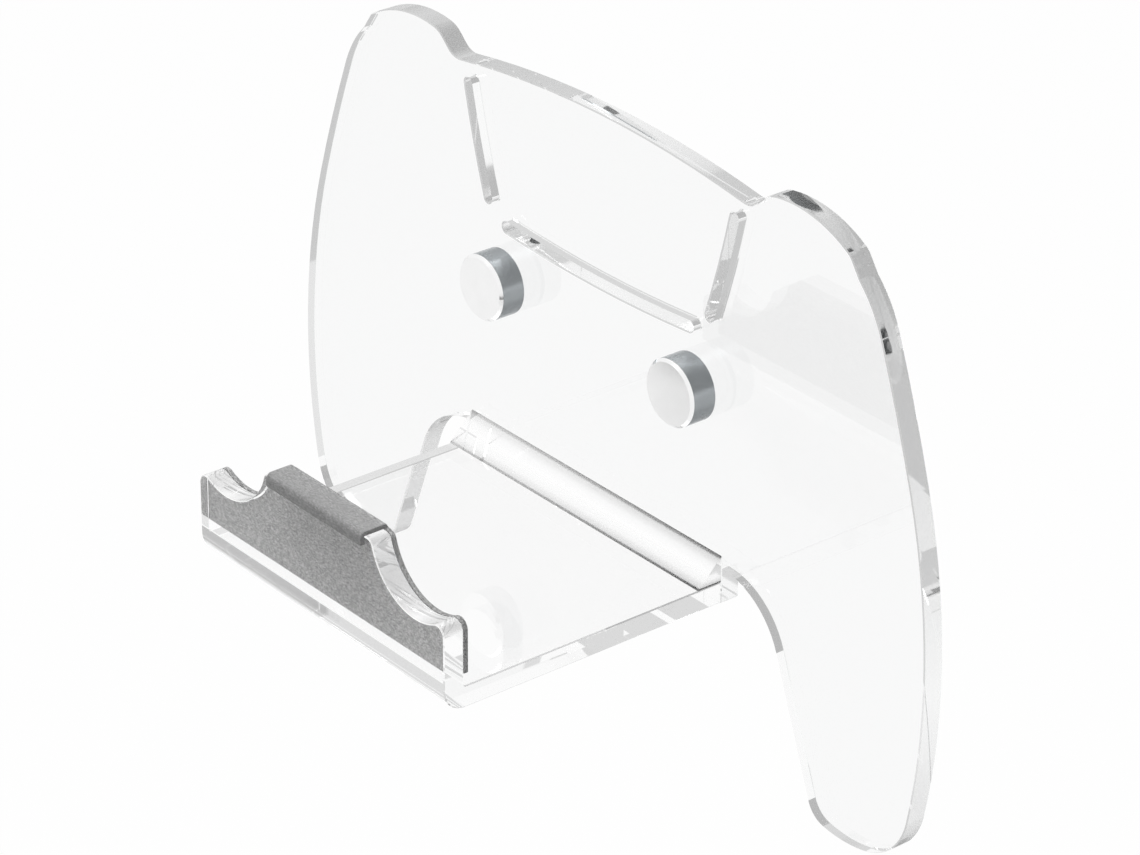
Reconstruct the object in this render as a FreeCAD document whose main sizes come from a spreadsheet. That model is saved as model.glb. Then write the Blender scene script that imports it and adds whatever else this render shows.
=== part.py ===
"""Wall stand for a game controller: pad-shaped plate, bent shelf and lip, felt liner, two capped fixings.

The frame: the origin is on the plate's wall face, midway between the two screw holes. X runs to the
right, Y into the wall, Z up. All sizes are in millimetres.
"""

import FreeCAD, Part
import math
import os

import Sketcher

V = FreeCAD.Vector
ALONG_X = V(1, 0, 0)
ALONG_Y = V(0, 1, 0)
ALONG_Z = V(0, 0, 1)

# Driving dimensions. "Drop" is a distance below the line of the screw holes, "rise" one above it,
# "spread" a distance sideways from the middle, and "inset" one in from the plate's widest line.
# The shoulder's corners follow its centre: "lead" and "trail" are its reach inwards and outwards, "run"
# is a step sideways from the corner before, and "fall" one down from the shoulder's top.
DIMENSIONS = {
    "sheet_thickness": 4.0,
    "edge_break": 0.2,
    "plate_width": 165.3,
    "crown_rise": 40.1,
    "crown_radius": 235.0,
    "shoulder_inset": 34.45,
    "shoulder_rise": 41.3,
    "shoulder_radius": 25.0,
    "shoulder_lead": 5.8,
    "shoulder_start_round": 5.0,
    "dip_run": 4.0,
    "dip_round": 4.0,
    "shoulder_trail": 13.6,
    "shoulder_end_round": 3.0,
    "step_run": 2.3,
    "step_fall": 7.35,
    "step_round": 2.0,
    "hip_inset": 13.05,
    "hip_rise": 25.6,
    "hip_radius": 22.0,
    "flank_start_rise": 2.0,
    "flank_radius": 124.0,
    "flank_drop": 33.0,
    "toe_inset": 17.85,
    "toe_drop": 68.2,
    "toe_radius": 24.0,
    "toe_outer_round": 13.0,
    "toe_inner_inset": 25.15,
    "toe_inner_round": 5.0,
    "arch_drop": 30.8,
    "arch_radius": 15.0,
    "slot_width": 2.0,
    "side_slot_top_spread": 34.4,
    "side_slot_top_gap": 6.6,
    "side_slot_foot_spread": 29.0,
    "side_slot_foot_rise": 14.2,
    "side_slot_bow": 200.0,
    "low_slot_spread": 24.0,
    "low_slot_end_rise": 10.4,
    "low_slot_bow": 300.0,
    "fixing_spacing": 50.0,
    "screw_hole": 4.5,
    "shelf_width": 67.0,
    "shelf_drop": 33.3,
    "shelf_reach": 58.0,
    "bend_inside": 0.4,
    "lip_drop": 13.6,
    "plateau_round": 1.5,
    "scoop_spread": 25.9,
    "scoop_radius": 11.5,
    "scoop_floor_drop": 22.8,
    "horn_round": 1.8,
    "bar_leg": 5.0,
    "felt_thickness": 0.9,
    "felt_floor_gap": 2.3,
    "flap_side_gap": 0.57,
    "flap_hang": 1.5,
    "flap_round": 0.7,
    "cap_diameter": 12.0,
    "cap_length": 5.0,
    "cap_face": 1.4,
    "cap_chamfer": 0.5,
    "base_wall": 0.5,
    "base_end_gap": 0.4,
    "screw_head": 8.0,
    "screw_cone": 90.0,
    "thread_clearance": 0.1,
}

# Places that several pieces share.
PLATE_FRONT = "Dims.sheet_thickness"
HALF_PLATE = "Dims.plate_width / 2"
HALF_SHELF = "Dims.shelf_width / 2"
SHELF_FLOOR = "Dims.shelf_drop + Dims.sheet_thickness"
LIP_FRONT = "Dims.sheet_thickness + Dims.shelf_reach"
LIP_BACK = "Dims.shelf_reach"
FELT_FACE = "Dims.shelf_reach - Dims.felt_thickness"
BEND_OUTSIDE = "Dims.bend_inside + Dims.sheet_thickness"
SHOULDER = f"{HALF_PLATE} - Dims.shoulder_inset"
SHOULDER_START = f"{SHOULDER} - Dims.shoulder_lead"
SHOULDER_END = f"{SHOULDER} + Dims.shoulder_trail"
DIP = f"{SHOULDER_START} - Dims.dip_run"
STEP = f"{SHOULDER_END} + Dims.step_run"
STEP_UP = "Dims.shoulder_rise - Dims.step_fall"
SCOOP_UP = "Dims.scoop_radius - Dims.scoop_floor_drop"
PLATEAU_CORNER_UP = "-(Dims.lip_drop + Dims.plateau_round)"
PLATEAU_CORNER = (
    "Dims.scoop_spread"
    f" - sqrt((Dims.scoop_radius + Dims.plateau_round)^2 - ({PLATEAU_CORNER_UP} - ({SCOOP_UP}))^2)"
)
BASE_RADIUS = "Dims.screw_head / 2 + Dims.base_wall"
BASE_LENGTH = "(Dims.cap_length - Dims.cap_face - Dims.base_end_gap)"

# Names for the points of a sketch's piece, which count up from 1, and for the two axes, which count down.
START, END, CENTRE = range(1, 4)
X_AXIS, Y_AXIS = range(-1, -3, -1)
HALF_TURN = math.degrees(math.pi)

doc = FreeCAD.newDocument("controller_stand")


def make_sheet():
    """Puts every driving dimension into one spreadsheet, each with its name as alias."""
    table = doc.addObject("Spreadsheet::Sheet", "Dims")
    for row, (name, number) in enumerate(DIMENSIONS.items(), start=1):
        table.set(f"A{row}", name)
        table.set(f"B{row}", str(number))
        table.setAlias(f"B{row}", name)
    doc.recompute()
    return table


sheet = make_sheet()


def value(expression):
    """The number that an expression on the sheet gives."""
    return float(sheet.evalExpression(expression))


def minus(expression):
    return f"-({expression})"


def new_body(name):
    body = doc.addObject("PartDesign::Body", name)
    body.Label = name
    return body


def origin_plane(body, role):
    return next(item for item in body.Origin.OriginFeatures if item.Role == role)


def angle(centre, point):
    """Direction from a centre to a point, in degrees."""
    return math.degrees(math.atan2(point[1] - centre[1], point[0] - centre[0]))


def polar(centre, radius, degrees):
    """The point of a circle that lies in the given direction."""
    turn = math.radians(degrees)
    return (centre[0] + radius * math.cos(turn), centre[1] + radius * math.sin(turn))


class Profile:
    """A sketch on one of its body's origin planes, with every size bound to the sheet."""

    def __init__(self, body, name, role, offset=None):
        self.sketch = body.newObject("Sketcher::SketchObject", name)
        self.sketch.AttachmentSupport = [(origin_plane(body, role), "")]
        self.sketch.MapMode = "FlatFace"
        if offset:
            self.sketch.setExpression("AttachmentOffset.Base.z", offset)
        self.count = 0

    def line(self, first, last):
        return self.sketch.addGeometry(Part.LineSegment(V(*first, 0), V(*last, 0)))

    def arc(self, centre, radius, from_angle, to_angle):
        """An anticlockwise arc, with its angles in degrees."""
        circle = Part.Circle(V(*centre, 0), V(0, 0, 1), radius)
        span = (math.radians(from_angle), math.radians(to_angle))
        return self.sketch.addGeometry(Part.ArcOfCircle(circle, *span))

    def circle(self, centre, radius):
        return self.sketch.addGeometry(Part.Circle(V(*centre, 0), V(0, 0, 1), radius))

    def mark(self, spot):
        """A point that helps to place other pieces."""
        return self.sketch.addGeometry(Part.Point(V(*spot, 0)), True)

    def constrain(self, kind, *where):
        return self.sketch.addConstraint(Sketcher.Constraint(kind, *where))

    def bind(self, kind, where, expression):
        """Adds a driving constraint and ties its value to the sheet."""
        index = self.constrain(kind, *where, value(expression))
        self.count += 1
        name = f"size_{self.count}"
        self.sketch.renameConstraint(index, name)
        self.sketch.setExpression(f"Constraints.{name}", expression)

    def place(self, geometry, point, across=None, up=None):
        """Fixes a point by its distances from the sketch's origin."""
        for kind, expression in (("DistanceX", across), ("DistanceY", up)):
            if expression is None:
                continue
            if value(expression) < 0:
                self.bind(kind, (geometry, point, -1, START), minus(expression))
            else:
                self.bind(kind, (-1, START, geometry, point), expression)

    def radius(self, geometry, expression):
        self.bind("Radius", (geometry,), expression)

    def join(self, *ends):
        """Joins each pair of (piece, end) points."""
        for first, second in ends:
            self.constrain("Coincident", *first, *second)

    def polygon(self, corners):
        """A closed run of straight edges through (across, up) corners, each a pair of expressions."""
        points = [(value(across), value(up)) for across, up in corners]
        following = points[1:] + points[:1]
        edges = [self.line(first, last) for first, last in zip(points, following)]
        for index, (across, up) in enumerate(corners):
            self.join(((edges[index - 1], END), (edges[index], START)))
            self.place(edges[index], START, across, up)
        return edges

    def rectangle(self, left, right, low, high):
        return self.polygon(((left, low), (right, low), (right, high), (left, high)))


def pad(body, name, profile, length, both_ways=False):
    doc.recompute()
    feature = body.newObject("PartDesign::Pad", name)
    feature.Profile = profile.sketch
    feature.setExpression("Length", length)
    feature.Midplane = both_ways
    doc.recompute()
    return feature


def cut_through(body, name, profile):
    """Cuts a sketch of the XZ plane through everything that lies in front of that plane."""
    doc.recompute()
    before = body.Shape.Volume
    feature = body.newObject("PartDesign::Pocket", name)
    feature.Profile = profile.sketch
    feature.Type = "ThroughAll"
    feature.Reversed = True
    doc.recompute()
    if not feature.Shape.Volume < before:
        raise RuntimeError(f"{name} cut nothing")
    return feature


def mirror_across_middle(body):
    """Adds the mirror image of the solid so far, across the YZ plane."""
    feature = body.newObject("PartDesign::Mirrored", "both_halves")
    feature.TransformMode = "Whole shape"
    feature.MirrorPlane = (origin_plane(body, "YZ_Plane"), [""])
    body.Tip = feature
    doc.recompute()
    return feature


def revolve(body, name, profile):
    """Turns a sketch of the XY plane round the body's Y axis."""
    doc.recompute()
    feature = body.newObject("PartDesign::Revolution", name)
    feature.Profile = profile.sketch
    feature.ReferenceAxis = (profile.sketch, ["V_Axis"])
    feature.Angle = 360.0
    doc.recompute()
    return feature


def edges_along(shape, axis, spot):
    """Names of the edges that run along an axis through a spot."""
    reach = 0.02
    names = []
    for index, edge in enumerate(shape.Edges, start=1):
        ends = [vertex.Point for vertex in edge.Vertexes]
        if len(ends) == 2 and all((end - spot).cross(axis).Length < reach for end in ends):
            names.append(f"Edge{index}")
    if not names:
        raise RuntimeError(f"no edge through {spot}")
    return names


def round_edges(body, name, axis, spots, radius):
    """Rounds the edges that run along an axis through the given spots."""
    base = body.Tip
    feature = body.newObject("PartDesign::Fillet", name)
    feature.Base = (base, [edge for spot in spots for edge in edges_along(base.Shape, axis, spot)])
    feature.setExpression("Radius", radius)
    doc.recompute()
    return feature


def flat_at(edge, direction, distance):
    """Whether an edge lies in the plane at that distance along a direction."""
    reach = 0.001
    spots = [edge.valueAt(edge.FirstParameter), edge.valueAt(edge.LastParameter), edge.CenterOfMass]
    return all(abs(spot.dot(direction) - distance) < reach for spot in spots)


def is_sharp(shape, edge):
    """Whether the two faces at an edge meet at an angle there, and don't run on smoothly."""
    faces = shape.ancestorsOfType(edge, Part.Face)
    middle = edge.valueAt((edge.FirstParameter + edge.LastParameter) / 2)
    first, last = (face.normalAt(*face.Surface.parameter(middle)) for face in (faces[0], faces[-1]))
    smooth_turn = 0.1
    return first.getAngle(last) > smooth_turn


def break_edges(body, left_sharp):
    """A small chamfer on every sharp edge, apart from those that the test leaves sharp."""
    base = body.Tip
    feature = body.newObject("PartDesign::Chamfer", "edge_breaks")
    numbered = enumerate(base.Shape.Edges, start=1)
    edges = [
        f"Edge{index}" for index, edge in numbered if is_sharp(base.Shape, edge) and not left_sharp(edge)
    ]
    feature.Base = (base, edges)
    feature.setExpression("Size", "Dims.edge_break")
    doc.recompute()
    return feature


def half_plate_outline(body):
    """The right half of the pad outline, from the crown clockwise to the foot of the shelf's tab."""
    outline = Profile(body, "half_outline", "XZ_Plane")

    def inset(name):
        return f"{HALF_PLATE} - Dims.{name}"

    def height(centre, radius, across):
        return centre[1] + math.sqrt(radius**2 - (across - centre[0]) ** 2)

    crown = (0.0, value("Dims.crown_rise - Dims.crown_radius"))
    shoulder = (value(SHOULDER), value("Dims.shoulder_rise - Dims.shoulder_radius"))
    flank = (value(f"{HALF_PLATE} - Dims.flank_radius"), value("-Dims.flank_drop"))
    toe = (value(inset("toe_inset")), value("Dims.toe_radius - Dims.toe_drop"))
    arch = (value(HALF_SHELF), value("-(Dims.arch_drop + Dims.arch_radius)"))
    arcs = ("crown", "shoulder", "flank", "toe", "arch", "hip")
    radii = {name: value(f"Dims.{name}_radius") for name in arcs}

    top = (0.0, value("Dims.crown_rise"))
    dip_across = value(DIP)
    dip = (dip_across, height(crown, radii["crown"], dip_across))
    rise_across = value(SHOULDER_START)
    rise = (rise_across, height(shoulder, radii["shoulder"], rise_across))
    fall_across = value(SHOULDER_END)
    fall = (fall_across, height(shoulder, radii["shoulder"], fall_across))
    step = (value(STEP), value(STEP_UP))
    hip = (value(inset("hip_inset")), value("Dims.hip_rise"))
    waist_up = value("Dims.flank_start_rise")
    waist_along = math.sqrt(radii["flank"] ** 2 - (waist_up - flank[1]) ** 2)
    waist = (flank[0] + waist_along, waist_up)
    ball = value("Dims.toe_outer_round")
    to_toe = V(toe[0] - flank[0], toe[1] - flank[1], 0)
    reach_flank, reach_toe = radii["flank"] - ball, radii["toe"] - ball
    along = (to_toe.Length**2 + reach_flank**2 - reach_toe**2) / (2 * to_toe.Length)
    swing = math.degrees(math.acos(along / reach_flank))
    flank_end_angle = angle(flank, toe) - swing
    ball_centre = polar(flank, reach_flank, flank_end_angle)
    flank_end = polar(flank, radii["flank"], flank_end_angle)
    toe_start = polar(toe, radii["toe"], angle(toe, ball_centre))
    heel_across = value(inset("toe_inner_inset"))
    heel = (heel_across, 2 * toe[1] - height(toe, radii["toe"], heel_across))
    to_heel = math.hypot(heel[0] - arch[0], heel[1] - arch[1])
    lean = math.degrees(math.acos(radii["arch"] / to_heel)) + angle(arch, heel)
    inner = polar(arch, radii["arch"], lean)
    tab_top = (arch[0], value("-Dims.arch_drop"))
    tab_foot = (arch[0], value(minus(SHELF_FLOOR)))
    middle = (0.0, tab_foot[1])

    def bulged(first, last, radius):
        """Centre of the circle that bulges away from the middle between two points."""
        chord = V(*last, 0) - V(*first, 0)
        inward = V(chord.y, -chord.x, 0).normalize()
        depth = math.sqrt(radius**2 - chord.Length**2 / 4)
        centre = (V(*first, 0) + V(*last, 0)) / 2 + inward * depth
        return (centre.x, centre.y)

    def arc_between(centre, radius, first, last):
        return outline.arc(centre, radius, angle(centre, first), angle(centre, last))

    def blend(spot, outward, centre, radius):
        """Centre and signed radius of the arc that leaves a spot smoothly and runs on into a circle.

        It leaves at right angles to outward. The radius is negative where the arc hollows inwards.
        """
        apart = V(*spot, 0) - V(*centre, 0)
        blend_radius = (apart.Length**2 - radius**2) / (2 * (apart.dot(outward) - radius))
        blend_centre = V(*spot, 0) - outward * blend_radius
        return (blend_centre.x, blend_centre.y), blend_radius

    hip_centre = bulged(step, hip, radii["hip"])
    waist_outward = (V(*waist, 0) - V(*flank, 0)).normalize()
    side_centre, side_radius = blend(waist, waist_outward, hip_centre, radii["hip"])
    side_bulges = side_radius > 0
    hip_start_angle = angle(side_centre, hip_centre) if side_bulges else angle(hip_centre, side_centre)
    hip_start = polar(hip_centre, radii["hip"], hip_start_angle)

    crown_arc = arc_between(crown, radii["crown"], dip, top)
    rise_line = outline.line(dip, rise)
    shoulder_arc = arc_between(shoulder, radii["shoulder"], fall, rise)
    fall_line = outline.line(fall, step)
    hip_mark = outline.mark(hip)
    hip_arc = arc_between(hip_centre, radii["hip"], hip_start, step)
    side_ends = (waist, hip_start) if side_bulges else (hip_start, waist)
    side_arc = arc_between(side_centre, abs(side_radius), *side_ends)
    side_low, side_high = (START, END) if side_bulges else (END, START)
    flank_arc = arc_between(flank, radii["flank"], flank_end, waist)
    ball_arc = arc_between(ball_centre, ball, toe_start, flank_end)
    toe_arc = arc_between(toe, radii["toe"], heel, toe_start)
    inner_line = outline.line(heel, inner)
    arch_arc = arc_between(arch, radii["arch"], inner, tab_top)
    tab_line = outline.line(tab_top, tab_foot)
    foot_line = outline.line(tab_foot, middle)
    middle_line = outline.line(middle, top)

    outline.join(
        ((middle_line, END), (crown_arc, END)),
        ((crown_arc, START), (rise_line, START)),
        ((rise_line, END), (shoulder_arc, END)),
        ((shoulder_arc, START), (fall_line, START)),
        ((fall_line, END), (hip_arc, END)),
        ((toe_arc, START), (inner_line, START)),
        ((arch_arc, END), (tab_line, START)),
        ((tab_line, END), (foot_line, START)),
        ((foot_line, END), (middle_line, START)),
    )
    outline.constrain("Tangent", hip_arc, START, side_arc, side_high)
    outline.constrain("Tangent", side_arc, side_low, flank_arc, END)
    outline.constrain("Tangent", flank_arc, START, ball_arc, END)
    outline.constrain("Tangent", ball_arc, START, toe_arc, END)
    outline.constrain("Tangent", inner_line, END, arch_arc, START)

    outline.constrain("PointOnObject", crown_arc, CENTRE, Y_AXIS)
    outline.constrain("PointOnObject", middle_line, START, Y_AXIS)
    outline.constrain("PointOnObject", middle_line, END, Y_AXIS)
    outline.place(crown_arc, END, up="Dims.crown_rise")
    outline.radius(crown_arc, "Dims.crown_radius")
    outline.place(rise_line, START, across=DIP)
    outline.place(rise_line, END, across=SHOULDER_START)
    outline.place(shoulder_arc, CENTRE, SHOULDER, "Dims.shoulder_rise - Dims.shoulder_radius")
    outline.radius(shoulder_arc, "Dims.shoulder_radius")
    outline.place(fall_line, START, across=SHOULDER_END)
    outline.place(fall_line, END, STEP, STEP_UP)
    outline.place(hip_mark, START, inset("hip_inset"), "Dims.hip_rise")
    outline.constrain("PointOnObject", hip_mark, START, hip_arc)
    outline.radius(hip_arc, "Dims.hip_radius")
    outline.place(flank_arc, END, up="Dims.flank_start_rise")
    outline.place(flank_arc, CENTRE, f"{HALF_PLATE} - Dims.flank_radius", "-Dims.flank_drop")
    outline.radius(flank_arc, "Dims.flank_radius")
    outline.place(toe_arc, CENTRE, inset("toe_inset"), "Dims.toe_radius - Dims.toe_drop")
    outline.radius(toe_arc, "Dims.toe_radius")
    outline.radius(ball_arc, "Dims.toe_outer_round")
    outline.place(inner_line, START, across=inset("toe_inner_inset"))
    outline.place(arch_arc, CENTRE, HALF_SHELF, "-(Dims.arch_drop + Dims.arch_radius)")
    outline.radius(arch_arc, "Dims.arch_radius")
    outline.place(tab_line, START, across=HALF_SHELF)
    outline.place(tab_line, END, HALF_SHELF, minus(SHELF_FLOOR))
    outline.constrain("Horizontal", foot_line)
    doc.recompute()

    joints = {
        "dip": (rise_line, START),
        "shoulder_start": (rise_line, END),
        "shoulder_end": (fall_line, START),
        "step": (fall_line, END),
        "toe_inner": (inner_line, START),
    }
    return outline, {name: outline.sketch.getPoint(*joint) for name, joint in joints.items()}


def arc_slot(body, name, first, last, bow):
    """Cuts a slot with round ends along an arc that bows to the right of the way from first to last."""
    slot = Profile(body, name, "XZ_Plane")
    ends = [(value(across), value(up)) for across, up in (first, last)]
    radius = value(bow)
    reach = value("Dims.slot_width / 2")
    chord = V(*ends[1], 0) - V(*ends[0], 0)
    inward = V(-chord.y, chord.x, 0).normalize()
    middle = (V(*ends[0], 0) + V(*ends[1], 0)) / 2
    centre = middle + inward * math.sqrt(radius**2 - chord.Length**2 / 4)
    centre = (centre.x, centre.y)
    angles = [angle(centre, end) for end in ends]
    outer = slot.arc(centre, radius + reach, *angles)
    inner = slot.arc(centre, radius - reach, *angles)
    head = slot.arc(ends[1], reach, angles[1], angles[1] + HALF_TURN)
    tail = slot.arc(ends[0], reach, angles[0] + HALF_TURN, angles[0] + 2 * HALF_TURN)
    slot.constrain("Tangent", outer, END, head, START)
    slot.constrain("Tangent", head, END, inner, END)
    slot.constrain("Tangent", inner, START, tail, START)
    slot.constrain("Tangent", tail, END, outer, START)
    slot.join(((outer, CENTRE), (inner, CENTRE)))
    slot.place(tail, CENTRE, *first)
    slot.place(head, CENTRE, *last)
    slot.radius(head, "Dims.slot_width / 2")
    slot.radius(outer, f"{bow} + Dims.slot_width / 2")
    doc.recompute()
    return cut_through(body, f"{name}_cut", slot)


def make_back_plate():
    body = new_body("back_plate")
    outline, corners = half_plate_outline(body)
    pad(body, "half_plate", outline, PLATE_FRONT)
    for name, corner in corners.items():
        round_edges(body, f"{name}_rounding", ALONG_Y, [V(corner.x, 0, corner.y)], f"Dims.{name}_round")
    arc_slot(
        body,
        "side_slot",
        ("Dims.side_slot_foot_spread", "Dims.side_slot_foot_rise"),
        ("Dims.side_slot_top_spread", "Dims.crown_rise - Dims.side_slot_top_gap"),
        "Dims.side_slot_bow",
    )
    arc_slot(
        body,
        "low_slot",
        ("-Dims.low_slot_spread", "Dims.low_slot_end_rise"),
        ("Dims.low_slot_spread", "Dims.low_slot_end_rise"),
        "Dims.low_slot_bow",
    )
    hole = Profile(body, "screw_hole", "XZ_Plane")
    spot = (value("Dims.fixing_spacing / 2"), 0.0)
    ring = hole.circle(spot, value("Dims.screw_hole / 2"))
    hole.constrain("PointOnObject", ring, CENTRE, X_AXIS)
    hole.place(ring, CENTRE, across="Dims.fixing_spacing / 2")
    hole.radius(ring, "Dims.screw_hole / 2")
    doc.recompute()
    cut_through(body, "screw_hole_cut", hole)
    mirror_across_middle(body)

    def left_sharp(edge):
        """The screw holes' rims, the corners of the outline, and the rim that the shelf is bonded to."""
        front = flat_at(edge, ALONG_Y, value(minus(PLATE_FRONT)))
        if not front and not flat_at(edge, ALONG_Y, 0):
            return True
        hole_rim = isinstance(edge.Curve, Part.Circle) and abs(edge.CenterOfMass.z) < 0.001
        return hole_rim or (front and flat_at(edge, ALONG_Z, value(minus(SHELF_FLOOR))))

    break_edges(body, left_sharp)
    return body


def half_lip(body, offset, thickness, low):
    """The right half of the lip's sheet: half a plateau, a round scoop and a low horn at the end.

    The sheet stands that offset in front of the wall, and reaches down to the level low.
    """
    outline = Profile(body, "half_lip_outline", "XZ_Plane", offset)
    scoop = (value("Dims.scoop_spread"), value(SCOOP_UP))
    scoop_radius, horn_radius, corner_radius = (
        value(f"Dims.{name}") for name in ("scoop_radius", "horn_round", "plateau_round")
    )
    end, top, bottom = value(HALF_SHELF), value("-Dims.lip_drop"), value(low)
    horn_across = end - horn_radius
    horn_depth = math.sqrt((scoop_radius + horn_radius) ** 2 - (horn_across - scoop[0]) ** 2)
    horn = (horn_across, scoop[1] - horn_depth)
    corner = (value(PLATEAU_CORNER), value(PLATEAU_CORNER_UP))
    to_horn, to_corner = angle(scoop, horn), angle(scoop, corner)

    end_line = outline.line((end, bottom), (end, horn[1]))
    full_turn = 2 * HALF_TURN
    horn_arc = outline.arc(horn, horn_radius, 0, to_horn + HALF_TURN)
    scoop_arc = outline.arc(scoop, scoop_radius, to_corner % full_turn, to_horn % full_turn)
    corner_arc = outline.arc(corner, corner_radius, (to_corner + HALF_TURN) % full_turn, HALF_TURN / 2)
    top_line = outline.line((corner[0], top), (0.0, top))
    middle_line = outline.line((0.0, top), (0.0, bottom))
    low_line = outline.line((0.0, bottom), (end, bottom))

    outline.join(
        ((top_line, END), (middle_line, START)),
        ((middle_line, END), (low_line, START)),
        ((low_line, END), (end_line, START)),
    )
    outline.constrain("Tangent", end_line, END, horn_arc, START)
    outline.constrain("Tangent", horn_arc, END, scoop_arc, END)
    outline.constrain("Tangent", scoop_arc, START, corner_arc, START)
    outline.constrain("Tangent", corner_arc, END, top_line, START)
    outline.constrain("Vertical", end_line)
    outline.constrain("Horizontal", top_line)
    outline.constrain("Horizontal", low_line)
    outline.constrain("PointOnObject", middle_line, START, Y_AXIS)
    outline.constrain("PointOnObject", middle_line, END, Y_AXIS)
    outline.place(end_line, START, HALF_SHELF, low)
    outline.place(top_line, END, up="-Dims.lip_drop")
    outline.place(scoop_arc, CENTRE, "Dims.scoop_spread", SCOOP_UP)
    outline.radius(scoop_arc, "Dims.scoop_radius")
    outline.radius(horn_arc, "Dims.horn_round")
    outline.radius(corner_arc, "Dims.plateau_round")
    doc.recompute()
    return pad(body, "half_lip", outline, thickness)


def make_shelf_and_lip():
    """One sheet, bent up at the front: the pad rests on it, and the lip keeps it from sliding off."""
    body = new_body("shelf_and_lip")
    floor, top = minus(SHELF_FLOOR), "-Dims.shelf_drop"
    half_lip(body, LIP_BACK, "Dims.sheet_thickness", floor)
    section = Profile(body, "shelf_section", "YZ_Plane")
    section.rectangle(minus(LIP_FRONT), minus(PLATE_FRONT), floor, top)
    pad(body, "half_shelf", section, HALF_SHELF)
    inner = V(0, -value(LIP_BACK), value(top))
    outer = V(0, -value(LIP_FRONT), value(floor))
    round_edges(body, "bend_inside_rounding", ALONG_X, [inner], "Dims.bend_inside")
    round_edges(body, "bend_outside_rounding", ALONG_X, [outer], BEND_OUTSIDE)
    mirror_across_middle(body)

    def left_sharp(edge):
        """The rim of the end that is bonded to the back plate."""
        return flat_at(edge, ALONG_Y, value(minus(PLATE_FRONT)))

    break_edges(body, left_sharp)
    return body


def make_corner_bar():
    """The three-cornered bar that is bonded into the corner between the plate and the shelf."""
    body = new_body("corner_bar")
    section = Profile(body, "section", "YZ_Plane")
    section.polygon(
        (
            (minus(PLATE_FRONT), "-Dims.shelf_drop"),
            (minus(PLATE_FRONT), "Dims.bar_leg - Dims.shelf_drop"),
            (minus(f"{PLATE_FRONT} + Dims.bar_leg"), "-Dims.shelf_drop"),
        )
    )
    pad(body, "bar", section, "Dims.shelf_width", both_ways=True)
    return body


def make_felt_liner():
    """One cut of felt on the lip's back, with a flap folded over the plateau and a little down the front."""
    body = new_body("felt_liner")
    half_lip(body, FELT_FACE, "Dims.felt_thickness", "Dims.felt_floor_gap - Dims.shelf_drop")
    fold = Profile(body, "fold_section", "YZ_Plane")
    top, crest = "-Dims.lip_drop", "Dims.felt_thickness - Dims.lip_drop"
    outside = f"{LIP_FRONT} + Dims.felt_thickness"
    hem = "-(Dims.lip_drop + Dims.flap_hang)"
    fold.polygon(
        (
            (minus(FELT_FACE), top),
            (minus(FELT_FACE), crest),
            (minus(outside), crest),
            (minus(outside), hem),
            (minus(LIP_FRONT), hem),
            (minus(LIP_FRONT), top),
        )
    )
    pad(body, "half_flap", fold, f"{PLATEAU_CORNER} - Dims.flap_side_gap")
    folds = [V(0, -value(depth), value(crest)) for depth in (FELT_FACE, outside)]
    round_edges(body, "fold_rounding", ALONG_X, folds, "Dims.flap_round")
    mirror_across_middle(body)
    return body


def turned_part(name, side, corners):
    """A turned piece that stands on the plate's front, on the axis of one of the screw holes."""
    body = new_body(name)
    half_section = Profile(body, "half_section", "XY_Plane")
    half_section.polygon(corners)
    revolve(body, "turned", half_section)
    body.setExpression("Placement.Base.x", f"{side} * Dims.fixing_spacing / 2")
    body.setExpression("Placement.Base.y", minus(PLATE_FRONT))
    doc.recompute()
    return body


def make_cap(name, side):
    """The bright cap: a cup with a bevelled face, screwed over its base."""
    rim = "Dims.cap_diameter / 2"
    bore = f"{BASE_RADIUS} + Dims.thread_clearance"
    bevel = "Dims.cap_chamfer"
    bottom = "Dims.cap_face - Dims.cap_length"
    corners = (
        (bore, "0"),
        (rim, "0"),
        (rim, f"{bevel} - Dims.cap_length"),
        (f"{rim} - {bevel}", "-Dims.cap_length"),
        ("0", "-Dims.cap_length"),
        ("0", bottom),
        (bore, bottom),
    )
    return turned_part(name, side, corners)


def make_cap_base(name, side):
    """The ring under the cap: the wall screw clamps it to the plate, its head sunk in the cone."""
    hole, head = "Dims.screw_hole / 2", "Dims.screw_head / 2"
    cone = f"({head} - {hole}) / tan(Dims.screw_cone / 2 * 1 deg)"
    corners = (
        (hole, "0"),
        (BASE_RADIUS, "0"),
        (BASE_RADIUS, minus(BASE_LENGTH)),
        (head, minus(BASE_LENGTH)),
        (hole, f"{cone} - {BASE_LENGTH}"),
    )
    return turned_part(name, side, corners)


def make_stand():
    bodies = [make_back_plate(), make_shelf_and_lip(), make_corner_bar(), make_felt_liner()]
    for side, word in ((-1, "left"), (1, "right")):
        bodies.append(make_cap_base(f"{word}_cap_base", side))
        bodies.append(make_cap(f"{word}_cap", side))
    return bodies


def check(bodies):
    """Stops on any object that failed, and on any solid that is empty or not valid."""
    for item in doc.Objects:
        if {"Invalid", "Error"} & set(item.State):
            raise RuntimeError(f"{item.Name} failed: {item.State}")
    for body in bodies:
        shape = body.Shape
        if shape.isNull() or not shape.isValid() or len(shape.Solids) != 1:
            raise RuntimeError(f"{body.Label} is not one valid solid")


stand = make_stand()
check(stand)
os.makedirs("parts", exist_ok=True)
for piece in stand:
    piece.Shape.exportStep(f"parts/{piece.Label}.step")
    box = piece.Shape.BoundBox
    size = f"{box.XLength:.2f} x {box.YLength:.2f} x {box.ZLength:.2f} mm"
    print(f"{piece.Label}: {size}, {piece.Shape.Volume:.0f} mm3")
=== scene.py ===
"""The controller stand's looks: clear acrylic, a felt liner, polished caps, and a plain studio."""

import math

import bpy
from mathutils import Matrix, Vector
from mathutils.geometry import delaunay_2d_cdt


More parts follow.
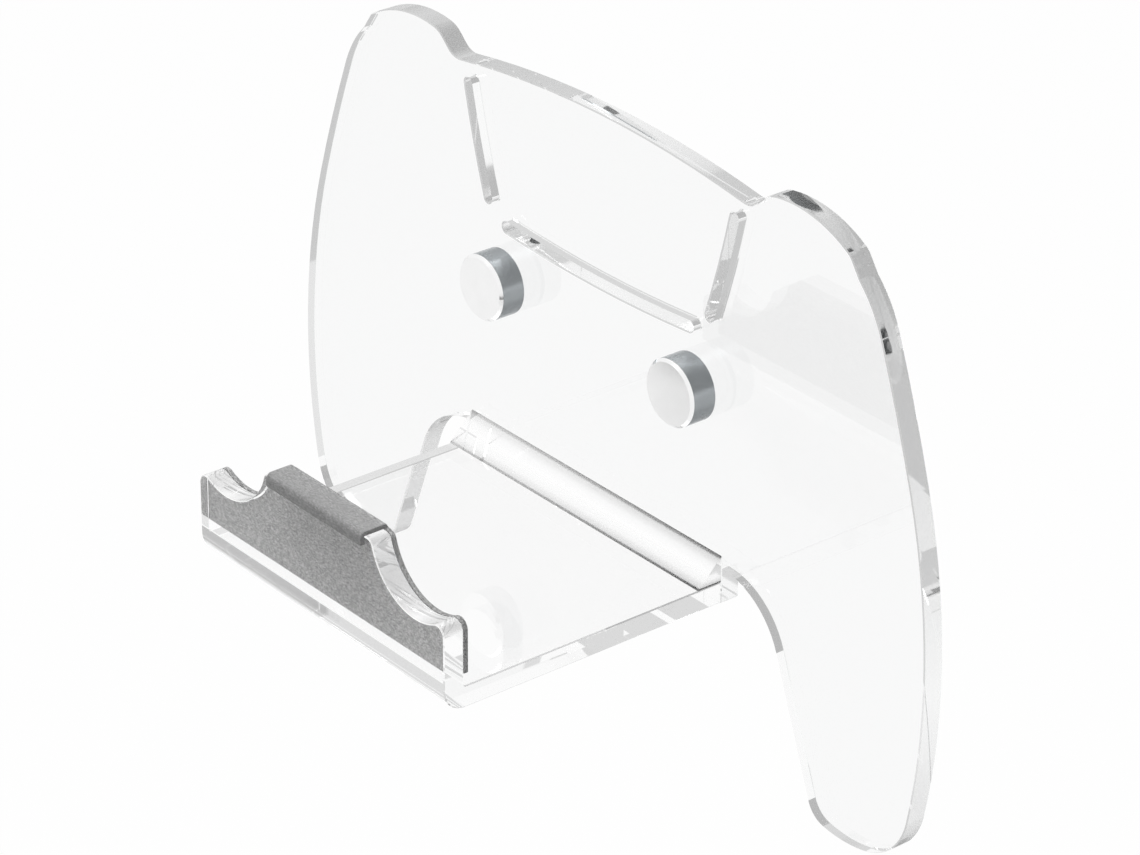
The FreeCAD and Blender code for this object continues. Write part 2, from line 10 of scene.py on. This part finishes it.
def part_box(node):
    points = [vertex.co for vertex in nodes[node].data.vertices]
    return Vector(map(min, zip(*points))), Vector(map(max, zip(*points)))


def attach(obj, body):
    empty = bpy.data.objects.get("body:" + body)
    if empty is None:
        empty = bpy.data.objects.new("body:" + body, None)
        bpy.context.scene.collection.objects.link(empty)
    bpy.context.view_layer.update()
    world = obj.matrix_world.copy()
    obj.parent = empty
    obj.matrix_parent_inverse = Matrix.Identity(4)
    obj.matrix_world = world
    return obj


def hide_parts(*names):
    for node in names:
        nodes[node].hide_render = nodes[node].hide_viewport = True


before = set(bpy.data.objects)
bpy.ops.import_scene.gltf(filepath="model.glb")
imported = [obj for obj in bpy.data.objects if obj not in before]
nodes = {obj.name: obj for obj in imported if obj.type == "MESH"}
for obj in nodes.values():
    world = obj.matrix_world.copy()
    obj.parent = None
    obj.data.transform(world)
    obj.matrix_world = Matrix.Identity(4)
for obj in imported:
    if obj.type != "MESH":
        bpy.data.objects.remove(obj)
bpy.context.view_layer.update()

MM = 0.001


# Node trees

class Tree:
    """A material's or the world's node tree, built by short calls."""

    def __init__(self, owner):
        owner.use_nodes = True
        self.tree = owner.node_tree
        self.tree.nodes.clear()

    def add(self, kind, inputs=None, **settings):
        node = self.tree.nodes.new(kind)
        for name, setting in settings.items():
            setattr(node, name, setting)
        for name, source in (inputs or {}).items():
            socket = node.inputs[name]
            if isinstance(source, bpy.types.NodeSocket):
                self.tree.links.new(source, socket)
            else:
                socket.default_value = source
        return node

    def ramp(self, factor, stops):
        node = self.add("ShaderNodeValToRGB", {"Fac": factor})
        elements = node.color_ramp.elements
        while len(elements) < len(stops):
            elements.new(1.0)
        for element, (position, level) in zip(elements, stops):
            element.position = position
            element.color = (*level, 1.0) if isinstance(level, tuple) else (level, level, level, 1.0)
        return node.outputs["Color"]

    def math(self, operation, *terms, clamp=False):
        inputs = dict(enumerate(terms))
        return self.add("ShaderNodeMath", inputs, operation=operation, use_clamp=clamp).outputs[0]

    def blend(self, share, first, second):
        inputs = {0: share, 6: first, 7: second}
        return self.add("ShaderNodeMix", inputs, data_type="RGBA").outputs[2]

    def noise(self, vector, scale, detail=3.0, roughness=0.5):
        inputs = {"Vector": vector, "Scale": scale, "Detail": detail, "Roughness": roughness}
        return self.add("ShaderNodeTexNoise", inputs).outputs["Fac"]

    def stretched(self, vector, scale, turn=(0, 0, 0)):
        return self.add("ShaderNodeMapping", {"Vector": vector, "Scale": scale, "Rotation": turn}).outputs[0]

    def place(self):
        return self.add("ShaderNodeTexCoord").outputs["Object"]

    def bump(self, height, distance, strength=1.0):
        inputs = {"Height": height, "Distance": distance, "Strength": strength}
        return self.add("ShaderNodeBump", inputs).outputs["Normal"]

    def inside(self, place, low, high):
        """1 where a place lies in a box given by two corners in millimetres, and 0 elsewhere."""
        axes = self.add("ShaderNodeSeparateXYZ", {"Vector": place}).outputs
        held = 1.0
        for axis, least, most in zip(axes, low, high):
            middle, reach = (least + most) / 2 * MM, (most - least) / 2 * MM
            near = self.math("COMPARE", axis, middle, reach)
            held = self.math("MULTIPLY", held, near)
        return held

    def surface(self, shader):
        self.add("ShaderNodeOutputMaterial", {"Surface": shader})


def new_material(name):
    material = bpy.data.materials.new(name)
    return material, Tree(material)


# Materials

ACRYLIC_IOR = 1.49
CUT_LEAN = 0.05
EDGE_ROUGHNESS = 0.03
RIPPLE_ROUGHNESS = 0.02
# Share of painted shade on cut edges that face diagonally.
CORNER_PAINTED_SHADE = 0.3
LONG_RUN = 9
# Grey of the painted glow that ends long light paths: in the plate, and near white once a path has crossed
# sheets.
PLATE_PAINTED_GLOW = 0.7
CROSSED_PAINTED_GLOW = 0.97
WHITE = (1.0, 1.0, 1.0, 1.0)
PLATE_TINT = (0.95, 0.952, 0.952, 1.0)
SHELF_TINT = (0.996, 0.996, 0.996, 1.0)

# Where faces meet, in millimetres. A skin is a thin layer on both sides of a face.
HALF_SHELF = 33.5
PLATE_FRONT = -4.0
PLATE_SKIN = (-4.02, -3.98)
SHELF_SKIN = (-33.32, -33.28)
SHELF_TOP, SHELF_FOOT = -33.3, -37.29
BAR_TOP, BAR_NOSE = -28.3, -9.0
BAR_SIZE = 5.0
FIXING_LOW, FIXING_HIGH = (-40.0, PLATE_SKIN[0], -10.0), (40.0, PLATE_SKIN[1], 10.0)
FLAP_LOW, FLAP_HIGH = (-13.2, -63.5, -15.6), (13.2, -58.3, -12.0)
FLAP_CALM, FLAP_DARKER = 0.6, 0.015


def make_acrylic(name, tint, cut_axes, run, painted_glow_level, joints, seam_lines_and_shade=False):
    """Clear cast sheet with a trace of tint, hairline rub marks, and edges that are flame-polished.

    A face that looks even a little along one of the cut axes is a cut edge; the others are polished. The
    joints are boxes in millimetres, low corner and high corner. Solvent joins the sheets there into one,
    so a face inside such a box doesn't show. Light that has taken as many steps as run says ends in a
    painted
    glow: the sheet glows an even grey of the glow level, or near white if the light has crossed from one
    sheet to another. That painted light is a drawing aid, which keeps the edges from turning black, and so
    is the painted shade on cut edges that face diagonally. Painted shade, with a dark joint line at each
    edge, darkens the bar along its two long edges, more at its right end.
    """
    material, tree = new_material(name)
    place = tree.place()
    rubs = tree.noise(tree.stretched(place, (900.0, 900.0, 60.0), (0.0, 0.5, 0.0)), 1.0, 2.0)
    polished = tree.ramp(rubs, [(0.0, 0.0), (0.68, 0.001), (0.8, 0.008)])
    axes = tree.add("ShaderNodeSeparateXYZ", {"Vector": tree.add("ShaderNodeTexCoord").outputs["Normal"]})
    lean = 0.0
    for axis in cut_axes:
        lean = tree.math("MAXIMUM", lean, tree.math("ABSOLUTE", axes.outputs[axis]))
    edge = tree.math("GREATER_THAN", lean, CUT_LEAN)
    ripples = tree.noise(tree.stretched(place, (400.0, 1200.0, 400.0)), 1.0, 1.0)
    melted = tree.math("MULTIPLY_ADD", ripples, RIPPLE_ROUGHNESS, EDGE_ROUGHNESS)
    roughness = tree.math("MULTIPLY_ADD", edge, tree.math("SUBTRACT", melted, polished), polished)
    inner = tree.add("ShaderNodeNewGeometry").outputs["Backfacing"]
    # Painted shade: cut edges that face diagonally between X and Z come out up to 30 percent darker.
    turn = tree.math("ABSOLUTE", tree.math("MULTIPLY", axes.outputs["X"], axes.outputs["Z"]))
    painted_shade_and_joint_lines = tree.math("MULTIPLY_ADD", turn, -2.0 * CORNER_PAINTED_SHADE, 1.0)
    # Painted shade along the bar's long edges, with dark joint lines where it is bonded.
    if seam_lines_and_shade:
        painted_shade_and_joint_lines = tree.math("MULTIPLY", painted_shade_and_joint_lines, seam_shade(tree, place))
    skin = tree.add("ShaderNodeVectorMath", {0: tint[:3], "Scale": painted_shade_and_joint_lines}, operation="SCALE").outputs[0]
    color = tree.blend(inner, skin, WHITE)
    glass = {"Color": color, "Roughness": roughness, "IOR": ACRYLIC_IOR}
    sheet = tree.add("ShaderNodeBsdfGlass", glass).outputs[0]
    paths = tree.add("ShaderNodeLightPath").outputs
    # Painted light: a path that has taken run steps ends in a glow of the sheet, an even grey, near white
    # once it has crossed sheets.
    spent = tree.math("GREATER_THAN", paths["Ray Depth"], run - 0.5)
    crossed = tree.math("GREATER_THAN", paths["Transmission Depth"], 1.5)
    level = tree.math("MULTIPLY_ADD", crossed, CROSSED_PAINTED_GLOW - painted_glow_level, painted_glow_level)
    even = tree.add("ShaderNodeEmission", {"Color": WHITE, "Strength": level}).outputs[0]
    sheet = tree.add("ShaderNodeMixShader", {0: spent, 1: sheet, 2: even}).outputs[0]
    clear = tree.add("ShaderNodeBsdfTransparent").outputs[0]
    bonded = 0.0
    for low, high in joints:
        bonded = tree.math("MAXIMUM", bonded, tree.inside(place, low, high))
    lit_through = tree.math("MAXIMUM", bonded, paths["Is Shadow Ray"])
    tree.surface(tree.add("ShaderNodeMixShader", {0: lit_through, 1: sheet, 2: clear}).outputs[0])
    return material


def seam_shade(tree, place):
    """1 on most of the bar's slope, and less towards its long edges, more so at its right end."""
    axes = tree.add("ShaderNodeSeparateXYZ", {"Vector": place}).outputs
    down = tree.math("DIVIDE", tree.math("SUBTRACT", BAR_TOP * MM, axes["Z"]), BAR_SIZE * MM)
    # Painted shade: darker towards both long edges, with a dark joint line right at each, and more painted
    # shade towards the right end.
    upper_line = [(0.0, 0.08), (0.07, 0.3), (0.1, 0.7), (0.3, 0.94), (0.5, 1.0)]
    lower_line = [(0.75, 0.93), (0.92, 0.66), (0.95, 0.1)]
    line = tree.ramp(down, upper_line + lower_line)
    right = tree.math("MULTIPLY_ADD", axes["X"], 7.0, 0.7, clamp=True)
    return tree.blend(right, WHITE, line)


def make_steel(name, level, brushed):
    """Turned steel: a bright polished face, and a darker, blue-grey side with fine lines round it. The
    side's tone is partly its turned finish and partly a painted reflection.

    The face that is pressed to the plate mirrors all light, so that it doesn't show black in the plate's
    edge. That is a drawing aid.
    """
    material, tree = new_material(name)
    place = tree.place()
    lines = tree.noise(tree.stretched(place, (40.0, 9000.0, 40.0)), 1.0, 2.0)
    smudges = tree.noise(place, 260.0, 4.0)
    axes = tree.add("ShaderNodeSeparateXYZ", {"Vector": tree.add("ShaderNodeTexCoord").outputs["Normal"]})
    side = tree.math("LESS_THAN", tree.math("ABSOLUTE", axes.outputs["Y"]), 0.3)
    turned = tree.math("MULTIPLY_ADD", side, 0.1, brushed)
    pressed = tree.inside(place, FIXING_LOW, FIXING_HIGH)
    worn = tree.math("MULTIPLY_ADD", smudges, 0.08, turned)
    roughness = tree.math("MULTIPLY", worn, tree.math("SUBTRACT", 1.0, pressed))
    bright = tree.ramp(smudges, [(0.3, level * 0.97), (0.7, level)])
    # Partly painted reflection: the side is darker and blue-grey, partly for its turned finish and partly as
    # a painted reflection.
    side_tone_and_painted_reflection = tree.ramp(smudges, [(0.3, (0.39, 0.415, 0.43)), (0.7, (0.41, 0.435, 0.45))])
    tone = tree.blend(pressed, tree.blend(side, bright, side_tone_and_painted_reflection), WHITE)
    body = {
        "Base Color": tone,
        "Metallic": 1.0,
        "Roughness": roughness,
        "Normal": tree.bump(lines, 0.003 * MM, 0.5),
    }
    tree.surface(tree.add("ShaderNodeBsdfPrincipled", body).outputs[0])
    return material


def make_felt():
    """Heathered grey felt: short pale and dark fibres that lie every way, with a soft nap.

    The flap has a calmer tone, which is nearer to one grey.
    """
    material, tree = new_material("grey_felt")
    place = tree.place()
    fibres = [
        tree.noise(tree.stretched(place, scale, turn), 1.0, 3.0, 0.6)
        for scale, turn in (
            ((1500.0, 4800.0, 4800.0), (0.0, 0.2, 0.1)),
            ((1500.0, 4800.0, 4800.0), (0.2, -0.35, 0.5)),
            ((4800.0, 4800.0, 2200.0), (0.0, 0.5, 0.0)),
        )
    ]
    mat = tree.math("MULTIPLY_ADD", fibres[0], 0.4, tree.math("MULTIPLY", fibres[1], 0.3))
    mat = tree.math("MULTIPLY_ADD", fibres[2], 0.3, mat)
    clumps = tree.noise(place, 900.0, 3.0)
    mixed = tree.math("MULTIPLY_ADD", clumps, 0.08, tree.math("MULTIPLY", mat, 0.92))
    flap = tree.inside(place, FLAP_LOW, FLAP_HIGH)
    level = tree.math("MULTIPLY_ADD", flap, -FLAP_DARKER, 0.5)
    calming = tree.math("MULTIPLY", tree.math("SUBTRACT", level, mixed), FLAP_CALM)
    mixed = tree.math("MULTIPLY_ADD", flap, calming, mixed)
    tone = tree.ramp(mixed, [(0.42, 0.13), (0.5, 0.29), (0.58, 0.52)])
    body = {
        "Base Color": tone,
        "Roughness": 0.95,
        "Specular IOR Level": 0.15,
        "Sheen Weight": 0.25,
        "Sheen Roughness": 0.5,
        "Normal": tree.bump(mixed, 0.18 * MM, 0.9),
    }
    tree.surface(tree.add("ShaderNodeBsdfPrincipled", body).outputs[0])
    return material


def assign(node, material):
    nodes[node].data.materials[0] = material


def dress_frame():
    """Clear sheet, with its bonded joints, and steel."""
    behind, before = PLATE_SKIN
    under, over = SHELF_SKIN
    butt = ((-HALF_SHELF, behind, SHELF_FOOT), (HALF_SHELF, before, SHELF_TOP))
    bar_back = ((-HALF_SHELF, behind, SHELF_TOP), (HALF_SHELF, before, BAR_TOP))
    bar_foot = ((-HALF_SHELF, BAR_NOSE, under), (HALF_SHELF, PLATE_FRONT, over))
    # Each sheet: node, material name, tint, cut axes, grey of its painted glow, joints, and whether the
    # bar's edges get painted shade and joint lines.
    for node, name, tint, cut_axes, level, joints, seam_lines_and_shade in (
        ("back_plate", "plate_acrylic", PLATE_TINT, "XZ", PLATE_PAINTED_GLOW, (butt, bar_back), False),
        ("shelf_and_lip", "shelf_acrylic", SHELF_TINT, "X", CROSSED_PAINTED_GLOW, (butt, bar_foot), False),
        ("corner_bar", "bar_acrylic", SHELF_TINT, "X", CROSSED_PAINTED_GLOW, (bar_back, bar_foot), True),
    ):
        assign(node, make_acrylic(name, tint, cut_axes, LONG_RUN, level, joints, seam_lines_and_shade))
    cap, base = make_steel("polished_steel", 0.92, 0.12), make_steel("machined_steel", 0.62, 0.28)
    for side in ("left", "right"):
        assign(f"{side}_cap", cap)
        assign(f"{side}_cap_base", base)


# Felt liner

SHEET = 4.0 * MM
SCOOP_SPREAD = 25.9 * MM
SCOOP_RADIUS = 11.5 * MM
SCOOP_FLOOR = 22.8 * MM
HORN_ROUND = 1.8 * MM
PLATEAU_ROUND = 1.5 * MM
LIP_DROP = 13.6 * MM
FLAP_WIDTH = 25.8 * MM
FLAP_HANG = 1.5 * MM
FELT_THICKNESS = 0.84 * MM
AIR_GAP = 0.03 * MM
FELT_GRID = 0.55 * MM
RIM_WIDTH, RIM_STEPS, RIM_ANGLE = 0.16 * MM, 3, 55

# Shares of the grid: where a row starts, where it stops, and how far a point keeps from the outline.
GRID_START, GRID_STOP, GRID_CLEAR = 0.6, 0.4, 0.45


def arc_points(centre, radius, first, last, step):
    """Points of an arc from one angle to another, in radians, without its last one."""
    count = max(2, round(abs(last - first) * radius / step))
    turns = [first + (last - first) * k / count for k in range(count)]
    return [Vector((centre[0] + radius * math.cos(t), centre[1] + radius * math.sin(t))) for t in turns]


def straight_points(first, last, step):
    first, last = Vector(first), Vector(last)
    count = max(1, round((last - first).length / step))
    return [first.lerp(last, k / count) for k in range(count)]


def felt_cut(half_width, low, fold_length, step):
    """The flat cut's outline, anticlockwise: across, and up from the level of the fold."""
    scoop = Vector((SCOOP_SPREAD, SCOOP_RADIUS - SCOOP_FLOOR + LIP_DROP))
    horn_across = half_width - HORN_ROUND
    horn_depth = math.sqrt((SCOOP_RADIUS + HORN_ROUND) ** 2 - (horn_across - scoop.x) ** 2)
    horn = Vector((horn_across, scoop.y - horn_depth))
    corner_up = -PLATEAU_ROUND
    corner_reach = math.sqrt((SCOOP_RADIUS + PLATEAU_ROUND) ** 2 - (corner_up - scoop.y) ** 2)
    corner = Vector((scoop.x - corner_reach, corner_up))
    to_horn = math.atan2(horn.y - scoop.y, horn.x - scoop.x)
    to_corner = math.atan2(corner.y - scoop.y, corner.x - scoop.x) % math.tau - math.tau
    half_flap = FLAP_WIDTH / 2

    right = straight_points((0.0, low), (half_width, low), step)
    right += straight_points((half_width, low), (half_width, horn.y), step)
    right += arc_points(horn, HORN_ROUND, 0.0, to_horn + math.pi, step)
    right += arc_points(scoop, SCOOP_RADIUS, to_horn, to_corner, step)
    right += arc_points(corner, PLATEAU_ROUND, to_corner + math.pi, math.pi / 2, step)
    right += straight_points((corner.x, 0.0), (half_flap, 0.0), step)
    right += straight_points((half_flap, 0.0), (half_flap, fold_length), step)
    right += straight_points((half_flap, fold_length), (0.0, fold_length), step)
    top = [Vector((0.0, fold_length))]
    left = [Vector((-point.x, point.y)) for point in reversed(right[1:])]
    return right + top + left


def make_felt_liner():
    """Felt cut to the lip's shape, glued to its back, with the flap folded over the plateau."""
    low_corner, high_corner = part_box("felt_liner")
    half_width = high_corner.x
    face_y = high_corner.y
    fold_z = -LIP_DROP
    low = low_corner.z - fold_z
    middle_y = face_y - FELT_THICKNESS / 2 - AIR_GAP
    bend = FELT_THICKNESS / 2 + AIR_GAP
    quarter = bend * math.pi / 2
    lip_back = middle_y - bend
    runs = (quarter, quarter + SHEET, 2 * quarter + SHEET, 2 * quarter + SHEET + FLAP_HANG)

    def folded(across, up):
        """Where a point of the flat cut lies once the flap is folded."""
        if up <= 0:
            return Vector((across, middle_y, fold_z + up))
        if up <= runs[0]:
            turn = up / bend
            return Vector((across, lip_back + bend * math.cos(turn), fold_z + bend * math.sin(turn)))
        if up <= runs[1]:
            return Vector((across, lip_back - (up - runs[0]), fold_z + bend))
        lip_front = lip_back - SHEET
        if up <= runs[2]:
            turn = (up - runs[1]) / bend
            return Vector((across, lip_front - bend * math.sin(turn), fold_z + bend * math.cos(turn)))
        return Vector((across, lip_front - bend, fold_z - (up - runs[2])))

    outline = felt_cut(half_width, low, runs[3], FELT_GRID)
    points = list(outline)
    row = 0
    up = low + FELT_GRID * GRID_START
    while up < runs[3] - FELT_GRID * GRID_STOP:
        pitch = FELT_GRID if up < -FELT_GRID else FELT_GRID / 2
        across = -half_width + FELT_GRID * (GRID_START + 0.5 * (row % 2))
        while across < half_width - FELT_GRID * GRID_STOP:
            spot = Vector((across, up))
            if min((spot - edge).length for edge in outline) > FELT_GRID * GRID_CLEAR:
                points.append(spot)
            across += FELT_GRID
        up += pitch
        row += 1
    loop = list(range(len(outline)))
    inside_only, merge_distance = 1, 1e-7
    found = delaunay_2d_cdt(points, [], [loop], inside_only, merge_distance)
    mesh = bpy.data.meshes.new("felt_liner_cloth")
    mesh.from_pydata([folded(*point) for point in found[0]], [], [list(face) for face in found[2]])
    felt = bpy.data.objects.new("felt_cloth", mesh)
    bpy.context.scene.collection.objects.link(felt)
    felt.data.materials.append(make_felt())
    for face in mesh.polygons:
        face.use_smooth = True
    thicken = felt.modifiers.new("thickness", "SOLIDIFY")
    thicken.thickness = FELT_THICKNESS
    thicken.offset = 0.0
    soften = felt.modifiers.new("soft_rim", "BEVEL")
    soften.width = RIM_WIDTH
    soften.segments = RIM_STEPS
    soften.limit_method = "ANGLE"
    soften.angle_limit = math.radians(RIM_ANGLE)
    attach(felt, "root")
    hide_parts("felt_liner")


# Studio

FLOOR_REACH = 4.0
FLOOR_LEVEL = -0.6
FLOOR_GREY = (0.9, 0.9, 0.9, 1.0)
FLOOR_GLOW = 0.98
WORLD_LIGHT = 0.45
LAMP_SIZE, LAMP_POWER = 1.1, 10.0

# Cards: name, two opposite corners and grey. Two stand behind the stand, and two lie just over the floor.
BEHIND, LAID = 1.0, -0.59
CARDS = (
    ("left_flag", (-1.8, BEHIND, 0.12), (-0.6, BEHIND, 1.77), 0.68),
    ("right_flag", (-0.6, BEHIND, 0.12), (1.9, BEHIND, 1.77), 0.44),
    ("far_flag", (0.5, 0.3, LAID), (3.0, 2.2, LAID), 0.8),
    ("near_flag", (-0.3, 0.3, LAID), (0.5, 0.9, LAID), 0.56),
)


def make_stage():
    """A pale floor well below the stand, the surrounding white, a soft light from above, and the cards."""
    floor_mesh = bpy.data.meshes.new("floor")
    reach = FLOOR_REACH
    corners = card_corners((-reach, -reach, FLOOR_LEVEL), (reach, reach, FLOOR_LEVEL))
    floor_mesh.from_pydata(corners, [], [(0, 1, 2, 3)])
    floor = bpy.data.objects.new("floor", floor_mesh)
    bpy.context.scene.collection.objects.link(floor)
    material, tree = new_material("pale_floor")
    seen = seen_ray(tree)
    diffuse = tree.add("ShaderNodeBsdfDiffuse", {"Color": FLOOR_GREY}).outputs[0]
    glow = tree.add("ShaderNodeEmission", {"Color": WHITE, "Strength": 1.0}).outputs[0]
    share = tree.math("MULTIPLY", seen, FLOOR_GLOW)
    tree.surface(tree.add("ShaderNodeMixShader", {0: share, 1: diffuse, 2: glow}).outputs[0])
    floor.data.materials.append(material)

    world = bpy.data.worlds.new("studio")
    bpy.context.scene.world = world
    tree = Tree(world)
    strength = tree.math("MULTIPLY_ADD", seen_ray(tree), 1.0 - WORLD_LIGHT, WORLD_LIGHT)
    background = tree.add("ShaderNodeBackground", {"Color": WHITE, "Strength": strength})
    tree.add("ShaderNodeOutputWorld", {"Surface": background.outputs[0]})

    lamp("overhead", (-0.15, -0.1, 0.9), (0.0, -0.03, 0.0), LAMP_SIZE, LAMP_POWER)
    for card in CARDS:
        flag(*card)


def card_corners(low, high):
    """The four corners of a flat card, from two opposite ones. Two of its edges run along X."""
    return [low, (high[0], *low[1:]), high, (low[0], *high[1:])]


def flag(name, low, high, level):
    """A card that only gloss and glass see, so that clear edges and metal stand out."""
    mesh = bpy.data.meshes.new(name)
    mesh.from_pydata(card_corners(low, high), [], [(0, 1, 2, 3)])
    card = bpy.data.objects.new(name, mesh)
    bpy.context.scene.collection.objects.link(card)
    material, tree = new_material(name)
    tree.surface(tree.add("ShaderNodeEmission", {"Color": (level, level, level, 1.0)}).outputs[0])
    mesh.materials.append(material)
    card.visible_camera = card.visible_diffuse = card.visible_shadow = False


def seen_ray(tree):
    """1 for a ray from the camera, off gloss or through glass, and 0 for the light that falls on things."""
    paths = tree.add("ShaderNodeLightPath").outputs
    through = tree.math("ADD", paths["Is Glossy Ray"], paths["Is Transmission Ray"], clamp=True)
    return tree.math("ADD", paths["Is Camera Ray"], through, clamp=True)


def lamp(name, place, target, size, power):
    light = bpy.data.lights.new(name, "AREA")
    light.shape = "DISK"
    light.size = size
    light.energy = power
    body = bpy.data.objects.new(name, light)
    body.location = place
    body.rotation_euler = (Vector(place) - Vector(target)).to_track_quat("Z", "Y").to_euler()
    bpy.context.scene.collection.objects.link(body)


def make_camera():
    """The photograph's view of the stand."""
    azimuth, elevation, roll = (math.radians(turn) for turn in (50.743, 27.715, 0.449))
    distance, slide, lift = 764.438 * MM, -4.171 * MM, -16.036 * MM
    back = Vector(
        (
            math.sin(azimuth) * math.cos(elevation),
            -math.cos(azimuth) * math.cos(elevation),
            math.sin(elevation),
        )
    )
    level = Vector((math.cos(azimuth), math.sin(azimuth), 0.0))
    upright = back.cross(level)
    right = level * math.cos(roll) + upright * math.sin(roll)
    up = upright * math.cos(roll) - level * math.sin(roll)
    place = back * distance + right * slide + up * lift + Vector((0.0, PLATE_FRONT * MM, 0.0))
    data = bpy.data.cameras.new("camera")
    data.sensor_width = 36.0
    data.lens = 144.066
    camera = bpy.data.objects.new("camera", data)
    camera.matrix_world = Matrix.Translation(place) @ Matrix((right, up, back)).transposed().to_4x4()
    bpy.context.scene.collection.objects.link(camera)
    bpy.context.scene.camera = camera


make_camera()
dress_frame()
make_felt_liner()
make_stage()

BOUNCES = 16
CLEAR_BOUNCES = 32
scene = bpy.context.scene
scene.view_settings.view_transform = "Standard"
scene.cycles.max_bounces = BOUNCES
scene.cycles.glossy_bounces = BOUNCES
scene.cycles.transmission_bounces = BOUNCES
scene.cycles.transparent_max_bounces = CLEAR_BOUNCES
